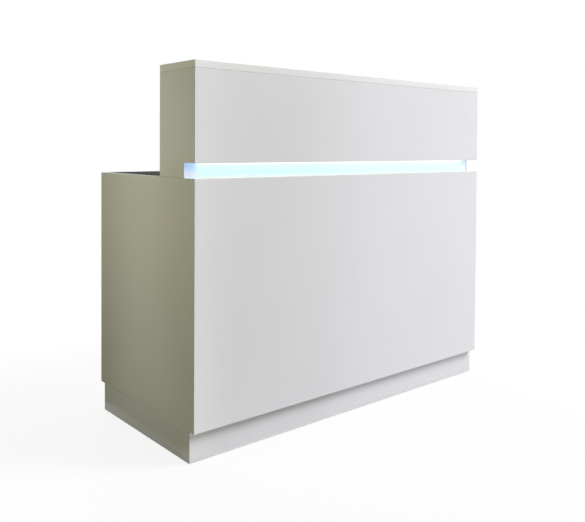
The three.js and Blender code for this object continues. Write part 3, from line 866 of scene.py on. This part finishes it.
def addRocker():
    r = rocker
    shape = [(-r["reach"], -r["shoulder"]), (0, -r["depth"]), (r["reach"], -r["shoulder"])]
    shape += [(r["reach"], r["rise"]), (0, r["dip"]), (-r["reach"], r["rise"])]
    outline = evenPoints(roundCorners(shape, r["rounds"], r["roundSteps"]), r["points"]) * mm
    tilt = math.radians(r["tilt"])
    turn = np.array([(math.cos(tilt), math.sin(tilt)), (-math.sin(tilt), math.cos(tilt))])
    block = plate(outline @ turn, -r["half"] * mm, r["half"] * mm, r["ease"] * mm)
    place = faceMiddle("switch_housing", "y") - (0, r["pivot"] * mm, 0)
    makePiece("switch_rocker_curved", [stand(block, place)], "rocker", "black_plastic", "switch_rocker")


addRocker()

# levelling feet: a domed pad, a hexagon, and a stud with a rolled thread
foot = {
    "pad": 20,
    "padHigh": 9,
    "padMiddle": 1,
    "padRound": 2.5,
    "padSteps": 6,
    "across": 17,
    "hexHigh": 6,
    "hexEase": 0.6,
    "ledge": 0.01,
    "stud": 4,
    "pitch": 1.25,
    "thread": 0.65,
    "loopsPerPitch": 6,
    "tip": 1,
    "points": 48,
}


# The hexagon is r(f) = half its width / cos(f folded into a sixth of a turn). The thread is
# r(f) = stud - depth |2 frac(h / pitch - f / 2 pi) - 1|.
def addFoot(node, body):
    k = foot
    low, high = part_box(node)
    angle = fullTurn(k["points"])
    even = np.ones_like(angle)
    half, ease = k["across"] / 2, k["hexEase"]
    hexagon = half / np.cos((angle + np.pi / 6) % (np.pi / 3) - np.pi / 6)
    dome = [(k["padMiddle"], 0), (k["pad"], 0), (k["pad"], k["padHigh"] / 2), (half, k["padHigh"])]
    pad = roundCorners(dome, k["padRound"], k["padSteps"], closed=False)
    hexLow, hexTop = k["padHigh"], k["padHigh"] + k["hexHigh"]
    top = (high.z - low.z) / mm
    turns = np.arange(hexTop + k["pitch"], top - k["tip"], k["pitch"] / k["loopsPerPitch"])
    wave = abs(2 * ((turns[:, None] / k["pitch"] - angle / (2 * np.pi)) % 1) - 1)
    hexRadii = [hexagon - ease, hexagon, hexagon, hexagon - ease, k["stud"] * even]
    studRadii = [k["stud"] - k["thread"] * wave, (k["stud"] - k["tip"]) * even]
    radii = np.vstack([[r * even for r in pad[:, 0]], hexRadii, *studRadii])
    hexHeights = [hexLow + k["ledge"], hexLow + ease, hexTop - ease, hexTop, hexTop + k["ledge"]]
    heights = np.concatenate([pad[:, 1], hexHeights, turns, [top]])
    solid = skin(circleLoops(radii, angle, heights) * mm)
    place = faceMiddle(node, "z", upper=False)
    makePiece(node + "_threaded", [stand(solid, place)], body, "zinc_steel", node)


for corner in ("front_left", "rear_left", "front_right", "rear_right"):
    addFoot(corner + "_foot", corner + "_leveller")
print("turned pieces, handles, lock, switch and feet made")

# screws: a pan head, its dome as shares of the radius at heights up to the crown, with a cross recess
screw = {
    "head": 3.2,
    "high": 1.25,
    "dome": [(1, 0), (1, 0.45), (0.9, 0.85), (0.68, 1.1)],
    "crown": 1.2,
    "cross": (1.7, 0.42),
    "lip": 0.12,
    "lipDrop": 0.1,
    "sunk": 0.95,
    "bottom": 0.6,
    "points": 40,
}


# The recess's edge r(f) is the greater of two crossed boxes
def screwHead(scale=1.0):
    k = screw
    angle = fullTurn(k["points"])
    long, narrow = k["cross"]
    cross = np.maximum(boxRadius(angle, long, narrow), boxRadius(angle, narrow, long))
    share, rise = np.array(k["dome"]).T
    dome = share[:, None] * k["head"] * np.ones_like(angle)
    radii = np.vstack([dome, cross + k["lip"], cross, cross * k["bottom"]])
    crown = k["crown"]
    heights = np.append(rise, [crown, crown - k["lipDrop"], crown - k["sunk"]]) / crown * k["high"]
    return skin(circleLoops(radii, angle, heights) * mm * scale)


railScrews = {"web": 1.25, "shares": (0.08, 0.45, 0.9), "scale": 0.95}  # shares of the rail's length


def addRailScrews(drawer):
    heads = []
    for side, way in (("left", 1), ("right", -1)):
        low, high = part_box(f"{drawer}_{side}_rail")
        web = (low.x if way > 0 else high.x) + way * railScrews["web"] * mm
        for share in railScrews["shares"]:
            place = (web, low.y + share * (high.y - low.y), (low.z + high.z) / 2)
            heads.append(stand(screwHead(railScrews["scale"]), place, (way, 0, 0)))
    makePiece(drawer + "_rail_screws", heads, "carcass", "zinc_steel")


handleScrews = {"sheet": 1.25, "scale": 1.3}


def addHandleScrews(drawer):
    low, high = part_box(drawer + "_handle")
    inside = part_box(drawer + "_tray")[1].y - handleScrews["sheet"] * mm
    half = bow["bar"] / 2 * mm
    places = [(at, inside, (low.z + high.z) / 2) for at in (low.x + half, high.x - half)]
    heads = [stand(screwHead(handleScrews["scale"]), place, (0, -1, 0)) for place in places]
    makePiece(drawer + "_handle_screws", heads, drawer, "zinc_steel")


for drawer in drawers:
    addRailScrews(drawer)
    addHandleScrews(drawer)

strikeScrews = {"side": 8, "back": 6, "sheet": 1.5}


def addStrikeScrews():
    low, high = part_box("lock_strike")
    side, back, sheet = (strikeScrews[name] * mm for name in ("side", "back", "sheet"))
    places = [(at, low.y + back, high.z - sheet) for at in (low.x + side, high.x - side)]
    heads = [stand(screwHead(), place, (0, 0, -1)) for place in places]
    makePiece("strike_screws", heads, "carcass", "zinc_steel")


addStrikeScrews()

# cover caps over the boards' fittings: a dome with a dimple, as shares of the radius and the height. The
# places on the body and the hutch are in metres.
cover = {
    "radius": 9.5,
    "high": 1.4,
    "dome": [(1, 0), (1, 0.45), (0.93, 0.85), (0.8, 1), (0.3, 1), (0.24, 0.72), (0.05, 0.66)],
    "points": 48,
    "bodyAt": (-0.16, 0.2),
    "bodyInset": 0.034,
    "hutchAt": (-0.205, -0.13),
    "hutchInset": 0.03,
}


# The dome's profile turned about Z
def coverCap():
    profile = np.array(cover["dome"]) * (cover["radius"], cover["high"])
    return turned(profile * mm, cover["points"])


def addCoverCaps():
    body = [(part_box("right_side_panel")[0].x, -1), (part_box("pedestal_partition")[1].x, 1)]
    hutch = [(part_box("hutch_left_end")[1].x, 1), (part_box("hutch_right_end")[0].x, -1)]
    bodyRise = (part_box("base_deck")[1].z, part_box("worktop")[0].z, cover["bodyInset"])
    hutchRise = (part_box("hutch_shelf")[1].z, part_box("hutch_top")[0].z, cover["hutchInset"])
    caps = []
    for walls, at, rise in ((body, cover["bodyAt"], bodyRise), (hutch, cover["hutchAt"], hutchRise)):
        under, over, margin = rise
        rows = [(back, up) for back in at for up in (under + margin, over - margin)]
        for wall, way in walls:
            caps += [stand(coverCap(), (wall, back, up), (way, 0, 0)) for back, up in rows]
    makePiece("cover_caps", caps, "carcass", "white_melamine")


addCoverCaps()
print("screws and cover caps made")

# lamps: softboxes, with their places and sizes in metres and power in watts. No lamp shows in a reflection.
desk = (0, 0, 0.5)
white = (1, 1, 1)
cool = (0.97, 0.964, 1.0)
olive = (1.0, 0.968, 0.68)
lamps = {
    "key": {"place": (8.2, -7.6, 7.6), "aim": desk, "size": (4.0, 4.0), "power": 927, "colour": cool},
    "high": {"place": (6.5, -6.0, 9.5), "aim": desk, "size": (4.0, 4.0), "power": 861, "colour": cool},
    "overhead": {"place": (0.9, -0.3, 3.2), "aim": desk, "size": (3.2, 2.4), "power": 30, "colour": white},
    "left": {
        "place": (-1.51, 0.03, 0.845),
        "aim": (-0.6, 0.02, 0.845),
        "size": (0.4, 0.4),
        "power": 2.6,
        "colour": olive,
    },
    "staff": {"place": (0.5, 3.2, 1.9), "aim": desk, "size": (2.6, 1.8), "power": 100, "colour": white},
}


def addLamp(name, lamp):
    data = bpy.data.lights.new(name, "AREA")
    data.shape = "RECTANGLE"
    data.size, data.size_y = lamp["size"]
    data.energy = lamp["power"]
    data.color = lamp["colour"]
    light = bpy.data.objects.new(name, data)
    scene.collection.objects.link(light)
    light.visible_camera = light.visible_glossy = False
    place = Vector(lamp["place"])
    way = Vector(lamp["aim"]) - place
    light.matrix_world = Matrix.Translation(place) @ way.to_track_quat("-Z", "Y").to_matrix().to_4x4()


for name, lamp in lamps.items():
    addLamp(name, lamp)

ambient = 0.02  # strength of the light from all round
full = {"Color": rgb(*white), "Strength": 1.0}


def seenRay(w):  # 1 for a ray that shows what it meets: a camera, glossy or transmission ray
    path = w.node("LightPath").socket.node.outputs
    kinds = ("Is Camera Ray", "Is Glossy Ray", "Is Transmission Ray")
    camera, shine, through = (Wire(w.tree, path[kind]) for kind in kinds)
    return camera.larger(shine).larger(through)


def addWorld():
    world = bpy.data.worlds.new("studio")
    world.use_nodes = True
    world.node_tree.nodes.clear()
    w = Wire(world.node_tree)
    dim = w.node("Background", {**full, "Strength": ambient})
    mixed = w.node("MixShader", {0: seenRay(w), 1: dim, 2: w.node("Background", full)})
    w.node("OutputWorld", {"Surface": mixed})
    scene.world = world


addWorld()


# A sheet of the set, with the surface that shade(wire) gives
def makeSheet(name, corners, faces, finish, shade):
    mesh = bpy.data.meshes.new(name)
    mesh.from_pydata(corners, [], faces)
    sheet = bpy.data.objects.new(name, mesh)
    scene.collection.objects.link(sheet)
    material = bpy.data.materials.new(finish)
    material.use_nodes = True
    material.node_tree.nodes.clear()
    w = Wire(material.node_tree)
    w.node("OutputMaterial", {"Surface": shade(w)})
    mesh.materials.append(material)
    return sheet


# floor: pale, keeps the desk's shadow, and turns to plain white away from it. What it throws back onto the
# desk is dimmer, and olive beside the desk's left side.
floor = {
    "reach": 30.0,
    "pale": rgb(0.86, 0.86, 0.86),
    "ownLight": 0.88,
    "fadeStep": (1.1, 2.2),
    "bounce": rgb(0.5, 0.5, 0.5),
    "beside": rgb(0.30, 0.30, 0.20),
    "besideStep": (0.52, 0.72),
}


def floorShade(w):
    x, y, _ = w.axes()
    away = (x * x + y * y).root().step(*floor["fadeStep"])
    shaded = w.node("BsdfDiffuse", {"Color": floor["pale"]})
    lit = away.spread(floor["ownLight"], 1 - floor["ownLight"])
    seen = w.node("MixShader", {0: lit, 1: shaded, 2: w.node("Emission", full)})
    colour = w.blend((-x).step(*floor["besideStep"]), floor["bounce"], floor["beside"])
    return w.node("MixShader", {0: seenRay(w), 1: w.node("BsdfDiffuse", {"Color": colour}), 2: seen})


def addFloor():
    r = floor["reach"]
    corners = [(-r, -r, 0), (r, -r, 0), (r, r, 0), (-r, r, 0)]
    makeSheet("floor", corners, [(0, 1, 2, 3)], "paleFloor", floorShade)


addFloor()
bend = [(0, 1, 2, 3), (3, 2, 4, 5)]


# Corners of a card that lies along the floor from near to far and stands up at its far end
def bentCorners(part):
    (left, right), (near, far), (low, high) = part["x"], part["y"], part["z"]
    along = [(left, near, low), (right, near, low), (right, far, low), (left, far, low)]
    return along + [(right, far, high), (left, far, high)]


# A sheet that shows only in reflections
def addReflected(name, corners, faces, finish, shade):
    sheet = makeSheet(name, corners, faces, finish, shade)
    sheet.visible_camera = sheet.visible_diffuse = sheet.visible_transmission = sheet.visible_shadow = False


# a dim card left of the desk, and a flag far behind the desk. A pale strip on the card runs away from the
# desk, its upper part is paler, and its near end fades to white.
card = {
    "x": (-4.0, -0.63),
    "y": (-0.35, 1.3),
    "z": (0.004, 2.4),
    "flagX": (-1.0, 4.0),
    "flagY": 4.0,
    "flagZ": (0.5, 1.7),
    "dim": rgb(0.16, 0.155, 0.11),
    "strip": rgb(0.68, 0.67, 0.57),
    "slant": 0.523,
    "start": 0.6,
    "stripStep": (0.03, 0.2),
    "pale": rgb(1, 1, 0.98),
    "paleShare": 0.45,
    "upperStep": (0.66, 0.8),
    "nearStep": (-0.35, -0.12),
}


def cardShade(w):
    x, y, z = w.axes()
    upper = z.step(*card["upperStep"])
    off = abs(x + y * card["slant"] + card["start"]).step(*card["stripStep"])
    banded = w.blend(off, w.blend(upper, card["strip"], card["pale"]), card["dim"])
    tone = w.blend(upper * card["paleShare"], banded, card["pale"])
    return w.node("Emission", {**full, "Color": w.blend(y.step(*card["nearStep"]), full["Color"], tone)})


def addCard():
    (left, right), far, (low, high) = card["flagX"], card["flagY"], card["flagZ"]
    flag = [(left, far, low), (right, far, low), (right, far, high), (left, far, high)]
    addReflected("card", bentCorners(card) + flag, bend + [(6, 7, 8, 9)], "dimCard", cardShade)


addCard()

# a bright card before the desk. Its tone falls and rises with the slope from a point behind the desk, so the
# front's gloss has soft upright bands.
bands = {
    "x": (-0.9, 6.2),
    "y": (-0.27, -3.0),
    "z": (0.002, 2.4),
    "eyeX": -1.557,
    "eyeY": 1.279,
    "start": 2.6,
    "fall": 3.05,
    "fallStep": (0.585, 0.70),
    "rise": 1.03,
    "riseStep": (0.86, 1.06),
    "inStep": (0.53, 0.63),
    "outStep": (1.42, 1.8),
    "tint": rgb(1, 0.985, 1.1),
}


def bandShade(w):
    x, y, _ = w.axes()
    slope = (x - bands["eyeX"]) / (bands["eyeY"] - y)
    rise = slope.step(*bands["riseStep"])
    extra = bands["start"] - slope.step(*bands["fallStep"]) * bands["fall"] + rise * bands["rise"]
    inside = slope.step(*bands["inStep"]) * (1 - slope.step(*bands["outStep"]))
    colour = w.blend(rise * inside, full["Color"], bands["tint"])
    return w.node("Emission", {"Color": colour, "Strength": 1 + extra * inside})


addReflected("bands", bentCorners(bands), bend, "bandCard", bandShade)
print("lamps, world, floor and cards set")
